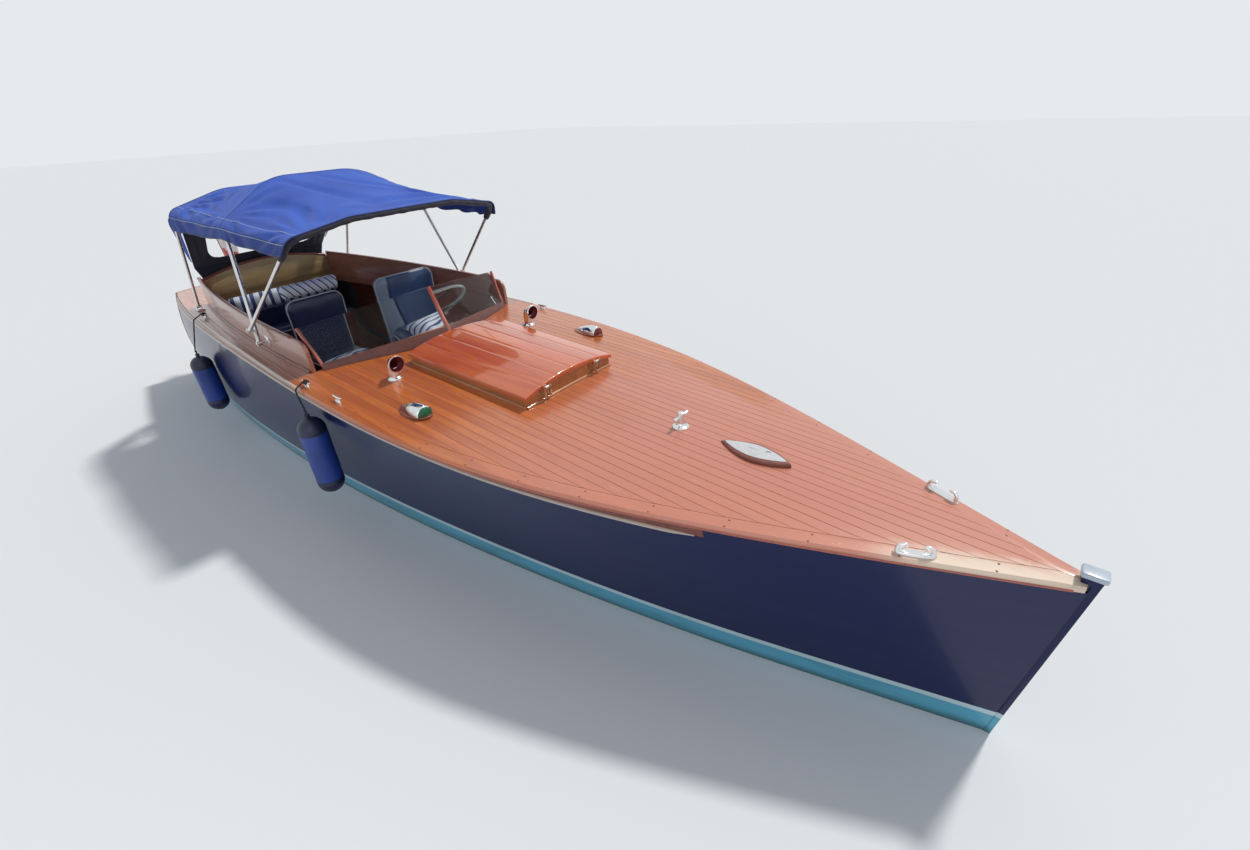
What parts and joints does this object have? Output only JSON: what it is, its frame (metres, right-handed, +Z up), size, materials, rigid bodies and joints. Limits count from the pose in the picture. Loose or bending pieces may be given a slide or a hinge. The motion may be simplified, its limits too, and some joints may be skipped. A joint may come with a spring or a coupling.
{
  "type": "open wooden motor launch",
  "caption": "Open varnished wooden motor launch with engine hatch, V windscreen, cockpit seats and a folding canopy over the cockpit.",
  "frame": {"origin": "on the centreline at the waterline, at mid-length of the hull", "axes": "+X towards the bow, +Y to port, +Z up"},
  "size_m": [6.9813, 1.8415, 2.4501],
  "materials": {
    "navy_paint": "glossy dark navy paint over planking",
    "mahogany": "varnished dark mahogany",
    "deck_mahogany": "varnished mahogany deck with fine seams",
    "hatch_mahogany": "bright red-orange varnished mahogany",
    "golden_wood": "golden varnished wood",
    "pale_trim": "pale half-round trim",
    "sole_wood": "oiled floor boards",
    "engine_paint": "grey-green engine enamel",
    "bronze": "cast bronze",
    "chrome": "chromed fittings",
    "stainless": "polished stainless tube",
    "glass": "clear safety glass",
    "green_glass": "green and red lamp glass",
    "navy_vinyl": "navy vinyl upholstery",
    "striped_cloth": "white and blue striped cloth",
    "royal_canvas": "royal blue canopy canvas",
    "dark_canvas": "near-black navy canvas",
    "blue_rubber": "blue inflated fender",
    "rope": "black braided line",
    "ensign_cloth": "red and white flag cloth"
  },
  "bodies": {
    "hull": {"aft_coaming": "golden_wood", "aft_curtain": "dark_canvas", "aft_deck": "deck_mahogany", "bench_back": "striped_cloth", "bench_base": "mahogany", "bench_cushion": "striped_cloth", "bollard": "chrome", "bottom_shell": "navy_paint", "bow_fitting": "chrome", "bow_pad": "mahogany", "bulkhead": "mahogany", "canopy_aft_feet": "chrome", "canopy_feet": "chrome", "cowl_vents": "chrome", "dashboard": "mahogany", "engine": "engine_paint", "engine_bearers": "sole_wood", "ensign": "ensign_cloth", "ensign_staff": "mahogany", "fairleads": "chrome", "fender_lanyards": "rope", "fenders": "blue_rubber", "foredeck": "deck_mahogany", "front_seat_backs": "navy_vinyl", "front_seat_bases": "mahogany", "front_seat_cushions": "striped_cloth", "front_seat_roll": "striped_cloth", "hatch_coaming": "golden_wood", "keel": "navy_paint", "lamp_lenses": "green_glass", "lamp_pads": "mahogany", "rub_rails": "pale_trim", "sheer_strakes": "mahogany", "side_cleats": "chrome", "side_coamings": "mahogany", "side_decks": "deck_mahogany", "side_lamps": "chrome", "sole": "sole_wood", "staff_socket": "chrome", "steering_column": "chrome", "stem": "navy_paint", "stem_cap": "pale_trim", "topsides": "navy_paint", "transom": "mahogany", "windscreen_boards": "mahogany", "windscreen_panes": "glass", "windscreen_posts": "mahogany"},
    "hatch": {"hatch_lid": "hatch_mahogany"},
    "steering": {"steering_wheel": "chrome"},
    "rudder": {"rudder": "bronze"},
    "propeller": {"propeller": "bronze"},
    "main_hoop": {"canopy_main_hoop": "stainless", "canopy_canvas": "royal_canvas"},
    "front_hoop": {"canopy_front_hoop": "stainless"},
    "aft_hoop": {"canopy_aft_hoop": "stainless"}
  },
  "joints": [
    {"name": "hatch_tip", "type": "hinge", "parent": "hull", "child": "hatch", "pos_m": [1.255, 0, 1.009], "axis": [0, 1, 0], "range_deg": [0, 80]},
    {"name": "wheel_turn", "type": "hinge", "parent": "hull", "child": "steering", "pos_m": [-0.27, 0.36, 1.05], "axis": [0.766, 0, -0.6428], "range_deg": [-360, 360]},
    {"name": "rudder_swing", "type": "hinge", "parent": "hull", "child": "rudder", "pos_m": [-2.96, 0, -0.3], "axis": [0, 0, 1], "range_deg": [-35, 35]},
    {"name": "propeller_spin", "type": "hinge", "parent": "hull", "child": "propeller", "pos_m": [-2.69, 0, -0.365], "axis": [1, 0, 0], "continuous": true},
    {"name": "canopy_fold", "type": "hinge", "parent": "hull", "child": "main_hoop", "pos_m": [-0.657, 0, 1.024], "axis": [0, -1, 0], "range_deg": [0, 45], "deforming": ["canopy_canvas", "aft_curtain"]},
    {"name": "front_hoop_fold", "type": "hinge", "parent": "main_hoop", "child": "front_hoop", "pos_m": [-0.68705, 0, 1.10538], "axis": [0, -1, 0], "range_deg": [0, 64]},
    {"name": "aft_hoop_fold", "type": "hinge", "parent": "hull", "child": "aft_hoop", "pos_m": [-2.3, 0, 0.934], "axis": [0, 1, 0], "range_deg": [0, 15.5]}
  ],
  "couplings": [
    {"joint": "rudder_swing", "follows": "wheel_turn", "ratio": 0.097},
    {"joint": "front_hoop_fold", "follows": "canopy_fold", "ratio": 1.4},
    {"joint": "aft_hoop_fold", "follows": "canopy_fold", "ratio": 0.3333}
  ]
}
